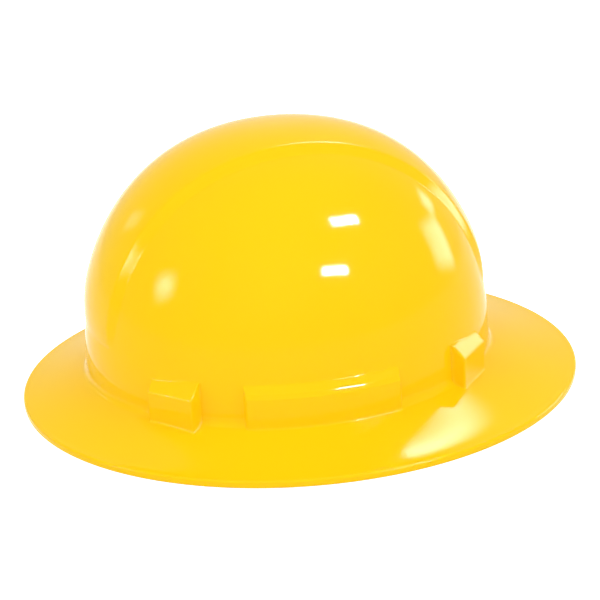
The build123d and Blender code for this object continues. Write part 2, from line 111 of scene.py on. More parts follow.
def dome_share(z, grow=0.0):
    """How wide the dome is at a height, as a share of its foot."""
    t = np.clip((z - FOOT_Z) / (DOME_H + grow), 0.0, 1.0)
    return (1 - t ** DOME_POWER) ** (1 / DOME_POWER)


def dome_z(x, y, grow=0.0):
    """The dome's height over a point of the plan."""
    s = np.hypot(x / (DOME_X + grow), (y - DOME_BACK) / (DOME_Y + grow))
    s = np.clip(s, 0.0, 1.0)
    return FOOT_Z + (DOME_H + grow) * (1 - s ** DOME_POWER) ** (1 / DOME_POWER)


def smooth_max(a, b, k):
    """The larger of two values, with a round of width k where they meet."""
    return np.maximum(a, b) + np.maximum(k - np.abs(a - b), 0) ** 2 / (4 * k)


def smooth_min(a, b, k):
    """The smaller of two values, with a round of width k where they meet."""
    return -smooth_max(-a, -b, k)


def raise_crest(points, grow=0.0):
    """Lifts points of the dome by the crest, away from the crosswise axis at its foot."""
    x, y, z = points[..., 0], points[..., 1] - DOME_BACK, points[..., 2] - FOOT_Z
    angle = np.degrees(np.arctan2(y, z))
    reach = np.where(angle < 0, CREST_FRONT + angle, CREST_REAR - angle)
    share = np.clip(reach / CREST_FADE, 0.0, 1.0)
    rise = (CREST_RISE + CREST_SINK) * share * (2 - share) - CREST_SINK
    shoulder = CREST_SHOULDER + grow * tan(pi / 8)
    skirt = CREST_FLANK * (CREST_RISE + CREST_SINK) / CREST_RISE
    flank = rise - (np.abs(x) - shoulder) * (rise + CREST_SINK) / skirt
    lift = smooth_min(rise, flank, CREST_TOP_BLEND)
    lift = smooth_max(lift, np.zeros_like(rise), CREST_FOOT_BLEND)
    lift = np.where(z > 0, lift, 0.0)
    radius = np.maximum(np.hypot(y, z), 1e-6)
    out = points.copy()
    out[..., 1] += lift * y / radius
    out[..., 2] += lift * z / radius
    return out


def brim_ring(share, phi, drop=0.0):
    """Points of the brim at a share of the way from the rim to the dome's foot."""
    x = (RIM_X + (DOME_X - RIM_X) * share) * np.cos(phi)
    y = DOME_BACK * share + (RIM_Y + (DOME_Y - RIM_Y) * share) * np.sin(phi)
    z = LIP_TOP + (FOOT_Z - LIP_TOP) * np.maximum(share, 0) ** BRIM_POWER - drop
    return np.stack([x, y, z + 0 * x], -1)


def brim_share_at(x, y):
    """The share at which the brim passes a point of the plan."""
    low, high = np.zeros_like(x), np.full_like(x, 1.2)
    for _ in range(HALVINGS):
        mid = (low + high) / 2
        a = RIM_X + (DOME_X - RIM_X) * mid
        b = RIM_Y + (DOME_Y - RIM_Y) * mid
        outside = (x / a) ** 2 + ((y - DOME_BACK * mid) / b) ** 2 > 1
        low, high = np.where(outside, low, mid), np.where(outside, mid, high)
    return (low + high) / 2


def brim_width(phi):
    """Distance from the dome's foot to the rim, square to the foot."""
    nx, ny = np.cos(phi) / DOME_X, np.sin(phi) / DOME_Y
    dx = (RIM_X - DOME_X) * np.cos(phi)
    dy = (RIM_Y - DOME_Y) * np.sin(phi) - DOME_BACK
    return (dx * nx + dy * ny) / np.hypot(nx, ny)


def wall_point(angle):
    """The point of the dome's foot at an angle in degrees."""
    turn = radians(angle)
    return np.array([DOME_X * cos(turn), DOME_BACK + DOME_Y * sin(turn)])


front_point, rear_point = wall_point(FRONT_KEY), wall_point(REAR_KEY)
STRAP_ANGLE = atan2(rear_point[1] - front_point[1], front_point[0] + rear_point[0])
BOSSES = ((front_point, -STRAP_ANGLE), (rear_point, STRAP_ANGLE))


def edge_weight(inside, rounding, height):
    """How far a form has risen at a distance inside its edge: a steep side, then a round."""
    steep = np.clip(inside / EDGE_SIDE, 0, 1) * (1 - rounding / height)
    bend = np.clip((inside - EDGE_SIDE) / rounding, 0, 1)
    arc = np.sqrt(np.maximum(1 - (1 - bend) ** 2, 0)) * rounding / height
    return steep + arc


def column_angles():
    """The angles, from 0 to 180 degrees, of the skin's columns, with lines along every edge."""
    angles = {0.0, 90.0}
    for (point, facing), middle in zip(BOSSES, (-FRONT_KEY, REAR_KEY)):
        sign = -1 if facing < 0 else 1
        for side in (-1, 1):
            for step in EDGE_STEPS:
                want = side * (BOSS_HALF - step)
                low, high = middle - 15.0, middle + 15.0
                for _ in range(HALVINGS):
                    mid = (low + high) / 2
                    rel = wall_point(sign * mid) - point
                    across = sign * (rel[1] * cos(facing) - rel[0] * sin(facing))
                    low, high = (mid, high) if across < want else (low, mid)
                angles.add(round(low, 5))
    for end, sign in ((PANEL_FRONT, -1), (PANEL_REAR, 1)):
        for step in EDGE_STEPS:
            height = sign * (end - sign * step - DOME_BACK) / DOME_Y
            angles.add(round(degrees(asin(height)), 5))
    cap_x = DOME_X * dome_share(CAP_Z)
    for x in CREST_COLUMNS:
        angles.add(round(degrees(acos(x / cap_x)), 5))
    kept = []
    for angle in sorted(angles):
        if not kept or angle - kept[-1] > COLUMN_LEAST:
            kept.append(angle)
    filled = [kept[0]]
    for angle in kept[1:]:
        count = max(1, int(np.ceil((angle - filled[-1]) / COLUMN_MOST)))
        start = filled[-1]
        filled += [start + (angle - start) * i / count for i in range(1, count + 1)]
    return filled + [180.0 - angle for angle in reversed(filled[:-1])]


def boss_distance(point, facing, x, y, z):
    """Where the dome's surface lies, out along a boss, for a given place across it."""
    share = dome_share(z)
    a, b = DOME_X * share, DOME_Y * share
    ex, ey = cos(facing), sin(facing)
    across = (y - point[1]) * ex - (x - point[0]) * ey
    px, py = point[0] - across * ey, point[1] + across * ex - DOME_BACK
    qa = (ex / a) ** 2 + (ey / b) ** 2
    qb = px * ex / a ** 2 + py * ey / b ** 2
    qc = (px / a) ** 2 + (py / b) ** 2 - 1
    return across, (-qb + np.sqrt(np.maximum(qb * qb - qa * qc, 0))) / qa


# Heights of the rows down the wall. The ledge rows slope down over the panel's top: how far out
# they stand there, their height there, and their height on the plain wall.
WALL_ROWS = (44.6, 43.0, 41.5, 40.2, 39.2, 38.8)
LEDGE_ROWS = (
    (0.0, 38.4, 38.4), (0.12, 38.05, 38.1), (0.4, 37.62, 37.7), (1.0, 36.82, 37.2),
    (1.8, 35.74, 36.6), (2.45, 34.87, 35.9), (2.62, 34.61, 35.2), (2.74, 34.46, 34.6),
    (2.84, 34.3, 34.1), (2.98, 34.04, 33.7), (3.36, 33.14, 33.3), (3.74, 32.24, 32.8),
    (3.86, 31.96, 32.3), (3.94, 31.74, 31.95), (4.0, 31.5, 31.65),
)
LOW_ROWS = (31.35, 31.1, 30.8, 30.4, 29.8, 29.0, 27.4, 25.6, 23.8, 22.0, 20.6)


def panel_row(y, grow, z):
    """Points of the side panel, out along x from the dome's surface."""
    share = dome_share(np.full_like(y, z), grow)
    inside = 1 - ((y - DOME_BACK) / ((DOME_Y + grow) * share)) ** 2
    x = (DOME_X + grow) * share * np.sqrt(np.maximum(inside, 0.04))
    return np.stack([x, y, np.full_like(y, z)], -1)


def outer_rows(phi):
    """Rows of points down the outer wall, round the foot and out over the brim, for x >= 0."""
    foot = brim_ring(1.0, phi)
    x16, y16 = foot[:, 0], foot[:, 1]
    width = brim_width(phi)
    slope = np.arctan((FOOT_Z - LIP_TOP) * BRIM_POWER / width)

    inside_panel = np.minimum(y16 - PANEL_FRONT, PANEL_REAR - y16)
    panel_w = np.where(np.cos(phi) > 0, edge_weight(inside_panel, PANEL_ROUND, PANEL_PROUD), 0)
    boss = []
    for point, facing in BOSSES:
        across, out = boss_distance(point, facing, x16, y16, np.full_like(x16, FOOT_Z))
        near = np.hypot(x16 - point[0], y16 - point[1]) < 2 * BOSS_HALF
        w = np.where(near, edge_weight(BOSS_HALF - np.abs(across), BOSS_ROUND, BOSS_PROUD), 0)
        boss.append((point, facing, across, w))

    def plain(z):
        height = np.full_like(x16, z)
        share = dome_share(height)
        return np.stack([share * x16, DOME_BACK + share * (y16 - DOME_BACK), height], -1)

    def boss_at(item, distance, z):
        point, facing, across, _ = item
        ex, ey = cos(facing), sin(facing)
        x = point[0] + distance * ex - across * ey
        y = point[1] + distance * ey + across * ex
        return np.stack([x, y, z + 0 * x], -1)

    def mixed(base, panel_points, boss_points):
        out = base + (panel_points - base) * panel_w[:, None]
        for item, points in zip(boss, boss_points):
            out = out + (points - base) * item[3][:, None]
        return out

    def boss_wall(item, z):
        height = np.full_like(x16, z)
        surface = boss_distance(item[0], item[1], x16, y16, height)[1]
        proud = np.full_like(surface, BOSS_PROUD)
        top = smooth_min(proud, BOSS_SLOPE_TOP - height, BOSS_TOP_BLEND)
        return boss_at(item, smooth_max(surface, top, BOSS_WALL_BLEND), z)

    rows = []
    for z in (CAP_Z,) + WALL_ROWS:
        rows.append(mixed(plain(z), plain(z), [plain(z)] * 2))
    for grow, z_panel, z_plain in LEDGE_ROWS:
        base = plain(z_plain)
        walls = [boss_wall(item, z_plain) for item in boss]
        rows.append(mixed(base, panel_row(y16, grow, z_panel), walls))
    for z in LOW_ROWS:
        walls = [boss_wall(item, z) for item in boss]
        rows.append(mixed(plain(z), panel_row(y16, PANEL_PROUD, z), walls))

    # Round the foot: an arc on the plain wall, a small round under the panels and bosses
    arc_z = FOOT_Z + FOOT_ROUND * (1 - np.sin(slope)) / np.cos(slope)
    panel_foot = panel_row(y16, PANEL_PROUD, FOOT_Z)
    panel_out = panel_row(y16, PANEL_PROUD + SMALL_ROUND, FOOT_Z)
    feet = [(panel_foot, panel_out)]
    for item in boss:
        distance = np.full_like(x16, BOSS_PROUD)
        boss_out = boss_at(item, distance + SMALL_ROUND, FOOT_Z)
        feet.append((boss_at(item, distance, FOOT_Z), boss_out))
    bends = []
    for near, far in feet:
        share_near = brim_share_at(near[:, 0], near[:, 1])
        share_far = brim_share_at(far[:, 0], far[:, 1])
        corner, end = near.copy(), far.copy()
        corner[:, 2] = LIP_TOP + (FOOT_Z - LIP_TOP) * share_near ** BRIM_POWER
        end[:, 2] = LIP_TOP + (FOOT_Z - LIP_TOP) * share_far ** BRIM_POWER
        start = near.copy()
        start[:, 2] = corner[:, 2] + SMALL_ROUND
        bends.append((start, corner, end, share_far))
    for i in range(FOOT_STEPS + 1):
        turn = (pi / 2 - slope) * i / FOOT_STEPS
        out = FOOT_ROUND * (1 - np.cos(turn))
        z = arc_z - FOOT_ROUND * np.sin(turn)
        base = brim_ring(1 - out / width, phi)
        base[:, 2] = z
        level = []
        for start, corner, end, _ in bends:
            t = max(0.0, (i - FOOT_LEAD) / (FOOT_STEPS - FOOT_LEAD))
            curve = start * (1 - t) ** 2 + corner * 2 * t * (1 - t) + end * t * t
            if i < FOOT_LEAD:
                above = np.maximum(arc_z - start[:, 2], 0.3)
                curve = start.copy()
                curve[:, 2] = start[:, 2] + above * (1 - i / FOOT_LEAD)
            level.append(curve)
        rows.append(mixed(base, level[0], level[1:]))

    # Out over the brim
    share_plain = 1 - FOOT_ROUND * (1 - np.sin(slope)) / width
    share = share_plain.copy()
    turn = phi.copy()
    weights = [panel_w] + [item[3] for item in boss]
    for w, (_, _, end, share_far) in zip(weights, bends):
        share = share + (share_far - share_plain) * w
        a = RIM_X + (DOME_X - RIM_X) * share_far
        b = RIM_Y + (DOME_Y - RIM_Y) * share_far
        angle = np.arctan2((end[:, 1] - DOME_BACK * share_far) / b, end[:, 0] / a)
        turn = turn + np.where(w > 0, (angle - phi) * w, 0)
    last = BRIM_END / (RIM_X - DOME_X)
    for i in range(1, BRIM_STEPS + 1):
        t = i / BRIM_STEPS
        t = t * (0.75 + 0.25 * t)
        at = share + (last - share) * t
        rows.append(brim_ring(at, turn + (phi - turn) * t))
    return rows


def lip_rows(phi):
    """Rows round the lip, back under the brim and across the wall's foot."""
    span = RIM_X - DOME_X
    last_z = LIP_TOP + (FOOT_Z - LIP_TOP) * (BRIM_END / span) ** BRIM_POWER
    centre = last_z - LIP_TOP_ROUND * cos(radians(BRIM_END_SLOPE))
    places = []
    for t in np.radians((6, 22, 38, 54, 72, 90)):
        places.append((LIP_TOP_ROUND * (1 - sin(t)), centre + LIP_TOP_ROUND * cos(t)))
    places += [(0.0, 2.2), (0.0, 1.6)]
    for t in np.radians((0, 22, 45, 67, 90)):
        places.append((LIP_FOOT_ROUND * (1 - cos(t)), LIP_FOOT_ROUND * (1 - sin(t))))
    places += [(2.4, 0.0), (4.2, 0.0), (4.5, 0.12), (LIP_WIDTH, 0.4), (LIP_WIDTH, 1.4)]
    places += [(4.65, 2.1), (4.9, 2.38)]
    rows = []
    for inward, z in places:
        row = brim_ring(inward / span, phi)
        row[:, 2] = z
        rows.append(row)
    start = LIP_INSIDE / span
    for i in range(1, UNDER_STEPS + 1):
        rows.append(brim_ring(start + (1 - start) * i / UNDER_STEPS, phi, BRIM_WALL))
    for grow, z in ((-0.3, 13.6), (-1.2, 13.6), (-2.1, 13.6), (-2.34, 13.68), (-DOME_WALL, 14.0)):
        x, y = (DOME_X + grow) * np.cos(phi), DOME_BACK + (DOME_Y + grow) * np.sin(phi)
        rows.append(np.stack([x, y, np.full_like(x, z)], -1))
    for z in (15.5, 18.0, 21.0, 24.5, 28.0, 32.0, 36.0, 40.0, 43.0, CAP_Z):
        s = dome_share(np.full_like(phi, z), -DOME_WALL)
        x = (DOME_X - DOME_WALL) * s * np.cos(phi)
        y = DOME_BACK + (DOME_Y - DOME_WALL) * s * np.sin(phi)
        rows.append(np.stack([x, y, np.full_like(x, z)], -1))
    return rows


def mirror_rows(make, angles):
    """Runs a row maker for x >= 0 on both sides of the middle, round the whole ring."""
    ring = np.radians(np.array(list(angles) + [-a for a in reversed(angles[1:-1])]))
    folded = np.where(np.abs(ring) > pi / 2, np.sign(ring) * pi - ring, ring)
    folded = np.where(ring == pi, 0.0, folded)
    sign = np.where(np.abs(ring) > pi / 2, -1.0, 1.0)
    rows = make(folded)
    for row in rows:
        row[:, 0] *= sign
    return rows


def cap(angles, ring, ring_start, grow, steps, verts, faces, outward):
    """Fills the ring at the cap's height with lines that run from front to rear."""
    count = len(ring)
    half = len(angles)
    lines = []
    bow = np.sin(np.linspace(-pi / 2, pi / 2, steps + 1))
    start = len(verts)
    for i in range(half):
        rear, front = i, (count - i) % count
        if i in (0, half - 1):
            lines.append([ring_start + rear] * (steps + 1))
            continue
        x = ring[rear][0]
        reach = ring[rear][1] - DOME_BACK
        y = DOME_BACK + reach * bow[1:-1]
        points = np.stack([np.full_like(y, x), y, dome_z(np.full_like(y, x), y, grow)], -1)
        inside = list(range(start, start + steps - 1))
        lines.append([ring_start + front] + inside + [ring_start + rear])
        verts += list(raise_crest(points, grow))
        start += steps - 1
    for left, right in zip(lines, lines[1:]):
        for m in range(steps):
            quad = [left[m], right[m], right[m + 1], left[m + 1]]
            unique = list(dict.fromkeys(quad))
            if len(unique) > 2:
                faces.append(unique[::-1] if outward else unique)


def make_shell_skin():
    """The shell's closed skin: wall, foot, brim, lip, underside and both faces of the dome."""
    angles = column_angles()
    outer = mirror_rows(outer_rows, angles)
    lower = mirror_rows(lip_rows, angles)
    rows = outer + lower
    count = len(rows[0])
    verts = [point for row in rows for point in row]
    faces = []
    for k in range(len(rows) - 1):
        for c in range(count):
            d = (c + 1) % count
            near, far = k * count, (k + 1) * count
            faces.append([near + c, far + c, far + d, near + d])
    inner_start = (len(rows) - 1) * count
    cap(angles, rows[0], 0, 0.0, CAP_STEPS, verts, faces, True)
    cap(angles, rows[-1], inner_start, -DOME_WALL, INNER_CAP_STEPS, verts, faces, False)
    return new_mesh("shell_skin", verts, faces)


def cutter(name, corners):
    """A closed box mesh from a grid of (inner, outer) points, for one cut."""
    n = len(corners)
    verts = [p for group in corners for p in group]
    faces = [[3, 2, 1, 0], [4 * n - 4, 4 * n - 3, 4 * n - 2, 4 * n - 1]]
    for i in range(n - 1):
        for a in range(4):
            b = (a + 1) % 4
            faces.append([4 * i + a, 4 * i + b, 4 * i + 4 + b, 4 * i + 4 + a])
    return new_mesh(name, verts, faces, smooth=False)


def section(inner, outer, top):
    """The four corners (out, z) of a cut that starts below the shell."""
    return (inner, CUT_FLOOR), (outer, CUT_FLOOR), (outer, top), (inner, top)


def shell_cutters():
    """The cuts in the shell: a slot in each side panel and a pocket in each boss."""
    cutters = []
    for side in (1, -1):
        corners = []
        for i in range(SLOT_STEPS + 1):
            y = SLOT_FRONT + (SLOT_REAR - SLOT_FRONT) * i / SLOT_STEPS
            group = []
            for grow, z in section(SLOT_INNER, SLOT_OUTER, SLOT_TOP):
                inside = sqrt(1 - ((y - DOME_BACK) / (DOME_Y + grow)) ** 2)
                share = float(dome_share(np.array(z), grow))
                group.append((side * (DOME_X + grow) * inside * share, y, z))
            corners.append(group)
        cutters.append(cutter("slot_cut", corners))
        for point, facing in BOSSES:
            corners = []
            for across in (-POCKET_HALF, POCKET_HALF):
                group = []
                for out, z in section(POCKET_INNER, POCKET_OUTER, POCKET_TOP):
                    x = point[0] + out * cos(facing) - across * sin(facing)
                    y = point[1] + out * sin(facing) + across * cos(facing)
                    group.append((side * x, y, z))
                corners.append(group)
            cutters.append(cutter("pocket_cut", corners))
    return cutters


def cut(obj, cutters):
    """Subtracts closed meshes from an object and keeps the result as its mesh."""
    for tool in cutters:
        mesh = tool.data
        volume = 0.0
        for face in mesh.polygons:
            loop = [Vector(mesh.vertices[i].co) for i in face.vertices]
            for j in range(1, len(loop) - 1):
                volume += loop[0].dot(loop[j].cross(loop[j + 1]))
        if volume < 0:
            mesh.flip_normals()
        change = obj.modifiers.new("cut", "BOOLEAN")
        change.operation = "DIFFERENCE"
        change.solver = "EXACT"
        change.object = tool
    deps = bpy.context.evaluated_depsgraph_get()
    result = bpy.data.meshes.new_from_object(obj.evaluated_get(deps))
    obj.modifiers.clear()
    obj.data = result
    for tool in cutters:
        bpy.data.objects.remove(tool, do_unlink=True)


# Straps and pads

STRAP_HALF, STRAP_THICK, STRAP_CROWN = 9.5, 1.2, 116.0
STRAP_CROSS_GAP, STRAP_PLAY = 2.4, 0.1
BAR_Z, LOOP_MID = 47.5, 2.7
RIBBON_LINE = 4.5

# A seam on the strap's inner face, as lines from (travel from the strap's end, place across)
SEAM_LINES = (
    ((2.0, -7.0), (2.0, 7.0)), ((14.0, -7.0), (14.0, 7.0)),
    ((2.0, -7.0), (14.0, -7.0)), ((2.0, 7.0), (14.0, 7.0)),
    ((3.0, -6.2), (13.0, 6.2)), ((3.0, 6.2), (13.0, -6.2)),
)
STITCH_PITCH, STITCH_SIDES = 2.6, 6
STITCH_RINGS = ((-0.8, 0.14), (-0.4, 0.3), (0.4, 0.3), (0.8, 0.14))


def smooth_path(points, rounds=2):
    """Cuts the corners of an open line of points, keeping its ends."""
    line = np.array(points, float)
    for _ in range(rounds):
        first, second = line[:-1], line[1:]
        cut_line = np.empty((2 * len(first), 2))
        cut_line[0::2] = first * 0.75 + second * 0.25
        cut_line[1::2] = first * 0.25 + second * 0.75
        line = np.vstack([line[:1], cut_line, line[-1:]])
    return line


def strap_line(half, crown):
    """The strap's middle line in its plane: half of the arch, the loop round the bar, a tail."""
    rise = crown - BAR_Z
    arch_turns = np.radians(np.arange(90, 11, -3.0))
    loop_turns = np.radians(np.arange(15, -196, -15.0))
    tail_turns = np.radians((10.5, 14.0, 17.5, 20.5, 23.0))
    line = [(half * cos(t), BAR_Z + rise * sin(t)) for t in arch_turns]
    line += [(half + 1.0, 56.0), (half + 2.4, 51.0)]
    line += [(half + LOOP_MID * cos(t), BAR_Z + LOOP_MID * sin(t)) for t in loop_turns]
    line += [(half - 2.5, 51.5), (half - 1.75, 56.0)]
    line += [(half * cos(t) - 1.3, BAR_Z + rise * sin(t)) for t in tail_turns]
    return smooth_path(line)


def tube_faces(faces, rings, count):
    """Closes a run of rings, each of the same number of points, into a tube with flat ends."""
    for i in range(rings - 1):
        for j in range(count):
            k = (j + 1) % count
            near, far = i * count, (i + 1) * count
            faces.append([near + j, near + k, far + k, far + j])
    faces.append(list(range(count))[::-1])
    faces.append([(rings - 1) * count + j for j in range(count)])


def travelled(line):
    """How far along a line each of its points lies."""
    steps = np.hypot(*np.diff(line, axis=0).T)
    return np.concatenate([[0], np.cumsum(steps)])


def ribbon(name, line, centre, along, across, half_width, thick):
    """A flat strap in an upright plane, with rounded edges and its length in its UVs."""
    tangent = np.gradient(line, axis=0)
    tangent /= np.linalg.norm(tangent, axis=1)[:, None]
    normal = np.stack([-tangent[:, 1], tangent[:, 0]], -1)
    half = thick / 2
    turns = np.radians((-90, -50, 0, 50, 90))
    edge = [(half_width - half * (1 - cos(t)), half * sin(t)) for t in turns]
    outline = edge + [(w, half) for w in (RIBBON_LINE, 0.0, -RIBBON_LINE)]
    outline += [(-w, -n) for w, n in edge] + [(w, -half) for w in (-RIBBON_LINE, 0.0, RIBBON_LINE)]
    verts, faces, places = [], [], []
    for point, side, u in zip(line, normal, travelled(line)):
        for w, n in outline:
            s, z = point + side * n
            x = centre[0] + along[0] * s + across[0] * w
            y = centre[1] + along[1] * s + across[1] * w
            verts.append((x, y, z))
            places.append((u * MM, w * MM))
    tube_faces(faces, len(line), len(outline))
    obj = new_mesh(name, verts, faces)
    layer = obj.data.uv_layers.new(name="length")
    corners = [places[loop.vertex_index] for loop in obj.data.loops]
    layer.data.foreach_set("uv", [value for corner in corners for value in corner])
    return obj


def stitches(name, line, centre, along, across):
    """Short threads that lie on a strap's inner face, along the lines of the seam."""
    travel = travelled(line)
    total = travel[-1]
    ahead = 0.5
    sides = STITCH_SIDES
    verts, faces = [], []
    for (u0, w0), (u1, w1) in SEAM_LINES:
        length = hypot(u1 - u0, w1 - w0)
        number = max(1, round(length / STITCH_PITCH))
        for i in range(number):
            mid = (i + 0.5) / number
            at_u, at_w = u0 + (u1 - u0) * mid, w0 + (w1 - w0) * mid
            du, dw = (u1 - u0) / length, (w1 - w0) / length
            s = np.interp(total - at_u, travel, line[:, 0])
            z = np.interp(total - at_u, travel, line[:, 1])
            s2 = np.interp(total - at_u - ahead, travel, line[:, 0])
            z2 = np.interp(total - at_u - ahead, travel, line[:, 1])
            tan_s, tan_z = (s2 - s) / ahead, (z2 - z) / ahead
            inward = -1.0 if tan_z > 0 else 1.0
            nor_s, nor_z = inward * abs(tan_z), inward * -tan_s * (1 if tan_z > 0 else -1)
            first = len(verts)
            for end, size in STITCH_RINGS:
                for j in range(sides):
                    turn = 2 * pi * j / sides
                    lift = STRAP_THICK / 2 + size * 0.9 * sin(turn)
                    uu = end * du + size * cos(turn) * dw
                    ww = end * dw - size * cos(turn) * du
                    ps = s + tan_s * uu + nor_s * lift
                    pz = z + tan_z * uu + nor_z * lift
                    wide = at_w + ww
                    x = centre[0] + along[0] * ps + across[0] * wide
                    y = centre[1] + along[1] * ps + across[1] * wide
                    verts.append((x, y, pz))
            last = first + sides * (len(STITCH_RINGS) - 1)
            for base in range(first, last, sides):
                for j in range(sides):
                    m = (j + 1) % sides
                    faces.append([base + j, base + m, base + sides + m, base + sides + j])
            faces.append(list(range(first, first + sides)))
            faces.append(list(range(last, last + sides))[::-1])
    return new_mesh(name, verts, faces)


def crown_straps(web, thread):
    """The two crown straps, each looped round its two bars and sewn."""
    front = front_point - FRONT_REACH * BAR_SHARE * np.array([cos(STRAP_ANGLE), -sin(STRAP_ANGLE)])
    rear = rear_point - REAR_REACH * BAR_SHARE * np.array([cos(STRAP_ANGLE), sin(STRAP_ANGLE)])
    ends = ((1, 0.0, "crown_strap_lower"), (-1, STRAP_CROSS_GAP, "crown_strap_upper"))
    for side, lift, key in ends:
        a = np.array([side * front[0], front[1]])
        b = np.array([-side * rear[0], rear[1]])
        centre, half = (a + b) / 2, np.linalg.norm(a - b) / 2
        along = (a - b) / (2 * half)
        across = np.array([-along[1], along[0]])
        line = strap_line(half, STRAP_CROWN + lift - STRAP_THICK / 2 - STRAP_PLAY)
        whole = np.vstack([line[::-1] * (-1, 1), line[1:]])
        strap = ribbon(key + "_web", whole, centre, along, across, STRAP_HALF, STRAP_THICK)
        strap.data.materials.append(web)
        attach(strap, "suspension")
        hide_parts(key)
        for flip, name in ((1, "_stitch_a"), (-1, "_stitch_b")):
            seam = stitches(key + name, line * (flip, 1), centre, along, across)
            seam.data.materials.append(thread)
            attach(seam, "suspension")


def exp_bump(distance, width):
    """A soft bump of height one round zero."""
    return float(np.exp(-(distance / width) ** 2))


def finish_pad(pad, cloth, body, key):
    """Gives a pad its cloth, says what it rides on, and hides the part it stands for."""
    pad.data.materials.append(cloth)
    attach(pad, body)
    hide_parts(key)


def brow_pad(cloth):
    """A long crowned pad inside the front of the headband, with sewn channels."""
    half_x, half_y, middle_y, middle_z = 75.8, 92.8, -10.0, 18.0
    end_y, half_height, most, back, channel_count = 30.2, 11.9, 3.3, 0.15, 9
    start = asin(end_y / half_y)
    angles = np.linspace(start, pi - start, 241)
    xs, ys = half_x * np.cos(angles), middle_y - half_y * np.sin(angles)
    arc = travelled(np.stack([xs, ys], -1))
    total = arc[-1]
    nx, ny = np.cos(angles) / half_x, -np.sin(angles) / half_y
    size = np.hypot(nx, ny)
    nx, ny = nx / size, ny / size
    channels = [total * (k + 0.5) / channel_count for k in range(channel_count)]
    heights = np.sin(np.linspace(-pi / 2, pi / 2, 25))
    verts, faces = [], []
    for i in range(len(angles)):
        end = max(1 - abs(2 * arc[i] / total - 1) ** 26, 0.0) ** 0.4
        dip = sum(exp_bump(arc[i] - c, 1.5) for c in channels)
        tall = half_height * (0.86 + 0.14 * end) * (1 - 0.018 * (1 - dip))
        full = (0.55 + most * end) * (1 - 0.5 * dip)
        ring = [(h, back + full * max(1 - abs(h) ** 2.6, 0.0) ** 0.45) for h in heights]
        ring += [(h, back - 0.12 * (1 - h * h)) for h in heights[::-1][1:-1]]
        for h, deep in ring:
            verts.append((xs[i] - nx[i] * deep, ys[i] - ny[i] * deep, middle_z + tall * h))
    tube_faces(faces, len(angles), len(ring))
    finish_pad(new_mesh("brow_pad_soft", verts, faces), cloth, "headband", "brow_pad")


def nape_pad(cloth):
    """A small pillow on the ratchet's inner face, with a sewn border."""
    half_x, half_z, back_y, middle_z = 26.9, 11.4, 78.65, 15.6
    border, swell, count, power = 0.5, 3.4, 96, 5.0
    rings = 1 - (1 - np.linspace(0, 1, 22)) ** 1.6
    angles = np.linspace(0, 2 * pi, count + 1)[:-1]
    reach = (np.abs(np.cos(angles)) ** power + np.abs(np.sin(angles)) ** power) ** (-1 / power)
    ux, uz = half_x * reach * np.cos(angles), half_z * reach * np.sin(angles)
    verts, faces = [], []
    for front in (True, False):
        for r in rings[1:]:
            puff = max(1 - r ** 3.4, 0.0) ** 0.5
            seam = 0.42 * exp_bump(r - 0.84, 0.035) + 0.25 * exp_bump(r - 0.42, 0.05)
            deep = border + swell * puff * (1 - seam) if front else 0.45 * (1 - r ** 6)
            y = back_y - (deep if front else border - deep)
            verts += [(ux[i] * r, y, middle_z + uz[i] * r) for i in range(count)]
        verts.append((0, back_y - (border + swell if front else 0.05), middle_z))
    block = count * (len(rings) - 1) + 1
    for side, sign in ((0, 1), (1, -1)):
        base = side * block
        for i in range(count):
            j = (i + 1) % count
            faces.append([base + block - 1, base + i, base + j][::-sign])
            for k in range(len(rings) - 2):
                near, far = base + count * k, base + count * (k + 1)
                faces.append([near + i, far + i, far + j, near + j][::-sign])
    last = count * (len(rings) - 2)
    for i in range(count):
        j = (i + 1) % count
        faces.append([last + i, block + last + i, block + last + j, last + j])
    finish_pad(new_mesh("nape_pad_soft", verts, faces), cloth, "ratchet", "nape_pad")


# Materials

def material(name, colour, roughness, **settings):
    """A procedural material with constants on the shader's own sockets."""
    mat = bpy.data.materials.new(name)
    mat.use_nodes = True
    tree = mat.node_tree
    shader = tree.nodes["Principled BSDF"]
    shader.inputs["Base Color"].default_value = (*colour, 1)
    shader.inputs["Roughness"].default_value = roughness
    for key, value in settings.items():
        shader.inputs[key.replace("_", " ")].default_value = value
    return mat, tree, shader


def node(tree, kind, inputs=None, **attributes):
    """A shader node whose inputs are set to values or linked to other nodes' outputs."""
    item = tree.nodes.new(kind)
    for key, value in attributes.items():
        setattr(item, key, value)
    for key, value in (inputs or {}).items():
        if hasattr(value, "is_output"):
            tree.links.new(value, item.inputs[key])
        else:
            item.inputs[key].default_value = value
    return item


def noise(tree, scale, detail):
    """Noise that is fixed to the object."""
    where = node(tree, "ShaderNodeTexCoord")
    inputs = {"Vector": where.outputs["Object"], "Scale": scale, "Detail": detail}
    return node(tree, "ShaderNodeTexNoise", inputs).outputs["Fac"]


def spread(tree, value, low, high):
    """Maps a value from 0 to 1 between two limits."""
    inputs = {"Value": value, "To Min": low, "To Max": high}
    return node(tree, "ShaderNodeMapRange", inputs).outputs["Result"]


def combine(tree, operation, first, second):
    """A maths node of two values."""
    return node(tree, "ShaderNodeMath", {0: first, 1: second}, operation=operation).outputs[0]


def shade_by(tree, shader, colour, value, low, high):
    """Lets a value darken and brighten the base colour."""
    inputs = {0: colour, "Scale": spread(tree, value, low, high)}
    tint = node(tree, "ShaderNodeVectorMath", inputs, operation="SCALE")
    tree.links.new(tint.outputs["Vector"], shader.inputs["Base Color"])


def roughen(tree, shader, value, low, high):
    """Lets a value vary the roughness."""
    tree.links.new(spread(tree, value, low, high), shader.inputs["Roughness"])


def emboss(tree, shader, height, strength, distance):
    """Bump from a height, with its depth in metres."""
    inputs = {"Height": height, "Strength": strength, "Distance": distance}
    bump = node(tree, "ShaderNodeBump", inputs)
    tree.links.new(bump.outputs["Normal"], shader.inputs["Normal"])


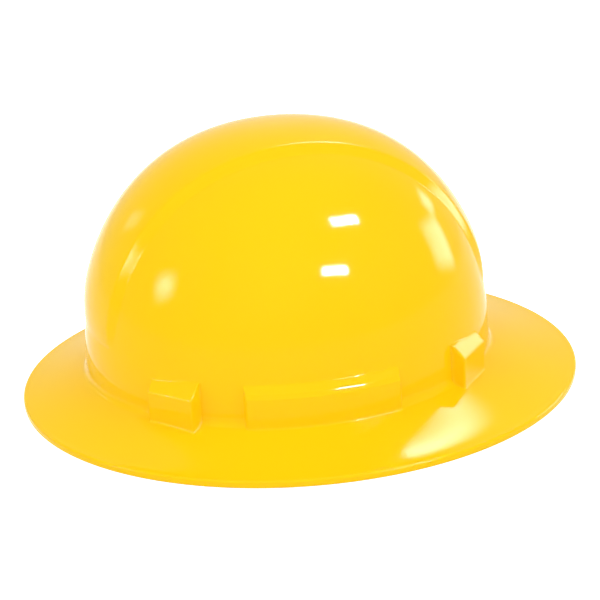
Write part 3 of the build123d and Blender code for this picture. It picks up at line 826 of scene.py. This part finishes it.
def shell_plastic():
    """Polished yellow plastic: slight drifts of shade under a weak, clear gloss."""
    gloss = {"IOR": 1.5, "Specular_IOR_Level": 0.08}
    mat, tree, shader = material("gloss_yellow", (0.97, 0.60, 0.003), 0.07, **gloss)
    shade = node(tree, "ShaderNodeValToRGB", {"Fac": noise(tree, 9.0, 2.0)})
    low, high = shade.color_ramp.elements
    low.position, low.color = 0.3, (0.965, 0.592, 0.003, 1)
    high.position, high.color = 0.7, (0.985, 0.610, 0.004, 1)
    tree.links.new(shade.outputs["Color"], shader.inputs["Base Color"])
    fine = noise(tree, 70.0, 1.0)
    roughen(tree, shader, fine, 0.05, 0.09)
    emboss(tree, shader, fine, 0.012, 0.0006)
    return mat


def moulded(name, colour, roughness, grain, depth):
    """Satin moulded plastic with a fine grain."""
    mat, tree, shader = material(name, colour, roughness)
    fine = noise(tree, grain, 3.0)
    roughen(tree, shader, fine, roughness - 0.08, roughness + 0.1)
    emboss(tree, shader, fine, 0.25, depth)
    return mat


def woven(name, colour):
    """Webbing: a weave that follows the strap's length and width."""
    mat, tree, shader = material(name, colour, 0.72, Sheen_Weight=0.15)
    where = node(tree, "ShaderNodeTexCoord")
    waves = []
    for direction, scale in (("X", 210.0), ("Y", 260.0)):
        wave = node(tree, "ShaderNodeTexWave", {"Vector": where.outputs["UV"], "Scale": scale},
                    wave_type="BANDS", bands_direction=direction)
        waves.append(wave.outputs["Fac"])
    weave = combine(tree, "MULTIPLY", *waves)
    shade_by(tree, shader, colour, weave, 0.6, 1.35)
    emboss(tree, shader, weave, 0.7, 0.0004)
    return mat


def pad_cloth(name, colour):
    """Brushed knit over foam."""
    mat, tree, shader = material(name, colour, 0.85, Sheen_Weight=0.3)
    where = node(tree, "ShaderNodeTexCoord")
    cells = node(tree, "ShaderNodeTexVoronoi", {"Vector": where.outputs["Object"], "Scale": 900.0})
    knit = combine(tree, "ADD", cells.outputs["Distance"], noise(tree, 1600.0, 3.0))
    shade_by(tree, shader, colour, knit, 0.7, 1.25)
    emboss(tree, shader, knit, 0.6, 0.0003)
    return mat


def plated(name, colour, roughness):
    """Plated steel with faint drifts of shade and polish."""
    mat, tree, shader = material(name, colour, roughness, Metallic=1.0)
    haze = noise(tree, 650.0, 3.0)
    shade_by(tree, shader, colour, haze, 0.85, 1.1)
    roughen(tree, shader, haze, roughness - 0.08, roughness + 0.1)
    return mat


def dress(name, mat):
    """Gives a CAD node its material."""
    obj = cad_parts[name]
    obj.data.materials.clear()
    obj.data.materials.append(mat)


yellow = shell_plastic()
skin = make_shell_skin()
cut(skin, shell_cutters())
skin.data.materials.clear()
skin.data.materials.append(yellow)
skin.data.polygons.foreach_set("use_smooth", [True] * len(skin.data.polygons))
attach(skin, "shell")
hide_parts("shell")

black = moulded("black_satin", (0.028, 0.028, 0.031), 0.42, 900.0, 0.00006)
band_black = moulded("band_black", (0.034, 0.035, 0.039), 0.38, 700.0, 0.00005)
grip_black = moulded("grip_black", (0.022, 0.022, 0.024), 0.55, 1500.0, 0.0001)
natural = moulded("natural_nylon", (0.62, 0.61, 0.56), 0.35, 500.0, 0.00003)
webbing = woven("webbing", (0.055, 0.06, 0.066))
thread = moulded("thread", (0.5, 0.5, 0.48), 0.6, 3000.0, 0.00005)
foam = pad_cloth("pad_cloth", (0.05, 0.05, 0.055))
steel = plated("plated_steel", (0.62, 0.62, 0.61), 0.28)

finishes = {
    black: ("key_front_left", "key_front_right", "key_rear_left", "key_rear_right",
            "ratchet_base", "ratchet_cover"),
    band_black: ("headband", "arm_left", "arm_right", "rack_left", "rack_right"),
    grip_black: ("knob",),
    natural: ("drive_pinion",),
    steel: ("housing_screws", "knob_screw"),
}
for finish, names in finishes.items():
    for name in names:
        dress(name, finish)
crown_straps(webbing, thread)
brow_pad(foam)
nape_pad(foam)


# Studio

# Angles are in degrees, from the front towards the right side. Lengths are in metres, but for
# the sensor, the lens and the floor, which are in millimetres.
CAMERA_AZIMUTH, CAMERA_ELEVATION, CAMERA_ROLL = 75.934, 20.52, -2.96
CAMERA_TARGET, CAMERA_DISTANCE = (-0.0001, 0.00154, 0.0442), 0.8805
SENSOR_WIDTH, LENS = 36.0, 88.99
LAMP_POINT = (0, 0, 0.08)
FLOOR_RADIUS, FLOOR_SIDES = 6000, 64
FLOOR_GREY, FLOOR_GLOW = 0.8, 0.75
SKY_LIGHT = 0.38


def fade_lamp(data, soft):
    """Dims an area lamp towards its edges, over a share of its half width."""
    data.use_nodes = True
    tree = data.node_tree
    glow = tree.nodes["Emission"]
    where = node(tree, "ShaderNodeNewGeometry")
    parts = node(tree, "ShaderNodeSeparateXYZ", {"Vector": where.outputs["Parametric"]})
    sides = []
    for axis in ("X", "Y"):
        off = combine(tree, "SUBTRACT", parts.outputs[axis], 0.5)
        off = node(tree, "ShaderNodeMath", {0: off}, operation="ABSOLUTE")
        inputs = {"Value": off.outputs[0], "From Min": 0.5, "From Max": 0.5 - soft / 2}
        edge = node(tree, "ShaderNodeMapRange", inputs, interpolation_type="SMOOTHSTEP")
        sides.append(edge.outputs["Result"])
    tree.links.new(combine(tree, "MULTIPLY", *sides), glow.inputs["Strength"])


def lamp(name, azimuth, elevation, distance, size_x, size_y, power,
         point=LAMP_POINT, roll=0.0, fill=False, soft=0.0):
    """An area lamp in a direction from a point. A fill lamp only lights, the others only show."""
    direction = towards(azimuth, elevation)
    data = bpy.data.lights.new(name, "AREA")
    data.shape = "RECTANGLE"
    data.size, data.size_y = size_x, size_y
    data.energy = power
    if soft:
        fade_lamp(data, soft)
    obj = bpy.data.objects.new(name, data)
    obj.location = Vector(point) + direction * distance
    facing = direction.to_track_quat("Z", "Y").to_matrix().to_4x4()
    obj.rotation_euler = (facing @ Matrix.Rotation(radians(roll), 4, "Z")).to_euler()
    obj.visible_glossy = not fill
    obj.visible_diffuse = fill
    obj.visible_camera = False
    bpy.context.scene.collection.objects.link(obj)


def towards(azimuth, elevation):
    """The unit vector from the object in a direction."""
    a, e = radians(azimuth), radians(elevation)
    return Vector((sin(a) * cos(e), -cos(a) * cos(e), sin(e)))


def aim_camera():
    """The camera at the photograph's viewing angle."""
    azimuth, roll = radians(CAMERA_AZIMUTH), radians(CAMERA_ROLL)
    back = towards(CAMERA_AZIMUTH, CAMERA_ELEVATION)
    right = Vector((cos(azimuth), sin(azimuth), 0))
    up = back.cross(right)
    side = right * cos(roll) + up * sin(roll)
    top = up * cos(roll) - right * sin(roll)
    data = bpy.data.cameras.new("camera")
    data.sensor_width, data.lens = SENSOR_WIDTH, LENS
    obj = bpy.data.objects.new("camera", data)
    turn = Matrix((side, top, back)).transposed().to_4x4()
    place = Vector(CAMERA_TARGET) + back * CAMERA_DISTANCE
    obj.matrix_world = Matrix.Translation(place) @ turn
    bpy.context.scene.collection.objects.link(obj)
    bpy.context.scene.camera = obj


def camera_white(tree, plain, bright):
    """A strength that is bright for camera, glossy and transmission rays, and plain for others."""
    path = node(tree, "ShaderNodeLightPath")
    seen = path.outputs["Is Camera Ray"]
    for kind in ("Is Glossy Ray", "Is Transmission Ray"):
        seen = combine(tree, "MAXIMUM", seen, path.outputs[kind])
    return spread(tree, seen, plain, bright)


def make_floor():
    """A wide white disc that shows white to the camera and keeps the object's shadow."""
    around = np.linspace(0, 2 * pi, FLOOR_SIDES + 1)[:-1]
    disc = np.stack([FLOOR_RADIUS * np.cos(around), FLOOR_RADIUS * np.sin(around), 0 * around], -1)
    floor = new_mesh("floor", disc, [list(range(FLOOR_SIDES))], smooth=False)
    mat = bpy.data.materials.new("floor_white")
    mat.use_nodes = True
    tree = mat.node_tree
    tree.nodes.clear()
    out = node(tree, "ShaderNodeOutputMaterial")
    strength = camera_white(tree, 0.0, FLOOR_GLOW)
    glow = node(tree, "ShaderNodeEmission", {"Color": (1, 1, 1, 1), "Strength": strength})
    matt = node(tree, "ShaderNodeBsdfDiffuse", {"Color": (FLOOR_GREY,) * 3 + (1,)})
    both = node(tree, "ShaderNodeAddShader", {0: matt.outputs[0], 1: glow.outputs[0]})
    tree.links.new(both.outputs[0], out.inputs["Surface"])
    floor.data.materials.append(mat)


def make_studio():
    """The floor, a white surround that lights plainly, and the lamps."""
    make_floor()
    world = bpy.data.worlds.new("studio")
    bpy.context.scene.world = world
    world.use_nodes = True
    tree = world.node_tree
    tree.nodes.clear()
    out = node(tree, "ShaderNodeOutputWorld")
    strength = camera_white(tree, SKY_LIGHT, 1.0)
    sky = node(tree, "ShaderNodeBackground", {"Color": (1, 1, 1, 1), "Strength": strength})
    tree.links.new(sky.outputs[0], out.inputs["Surface"])
    lamp("fill_top", 60, 85, 2.4, 3.0, 3.0, 22, fill=True)
    lamp("fill_camera", 72, 30, 2.6, 2.2, 1.8, 18, fill=True)
    lamp("fill_front", 10, 25, 2.6, 2.0, 1.6, 17, fill=True)
    lamp("fill_rear", 140, 25, 2.6, 2.0, 1.6, 22, fill=True)
    lamp("fill_far", 250, 32, 2.6, 2.2, 1.8, 17, fill=True)

    # Each of these lies where its reflection shows on the dome or the wall
    lamp("strip_high", 138.5, 50.9, 1.59, 0.42, 0.16, 60, (0.078, 0.009, 0.115), -28.2)
    lamp("strip_low", 111.7, 29.0, 1.59, 0.38, 0.12, 48, (0.092, -0.002, 0.094), -13.1)
    lamp("strip_crest", -122.4, 48.1, 1.6, 1.12, 0.2, 24, (0.039, 0.007, 0.14), -134.3, soft=1.0)
    lamp("window", -173.6, 10.8, 1.73, 0.75, 0.72, 26, (0.068, 0.063, 0.092), -21.2, soft=0.6)
    lamp("window_far", -156.0, 20.0, 1.8, 0.5, 0.35, 6, (0.082, 0.080, 0.035), 0.0, soft=0.8)
    lamp("softbox_left", 7.2, 18.5, 1.76, 0.65, 0.56, 42, (0.062, -0.087, 0.086), 25.4, soft=1.0)
    lamp("softbox_far", -46.0, 21.6, 1.75, 0.62, 0.34, 2.5, (0.025, -0.093, 0.112), 43.5, soft=0.8)


aim_camera()
make_studio()
bpy.context.scene.view_settings.view_transform = "Standard"
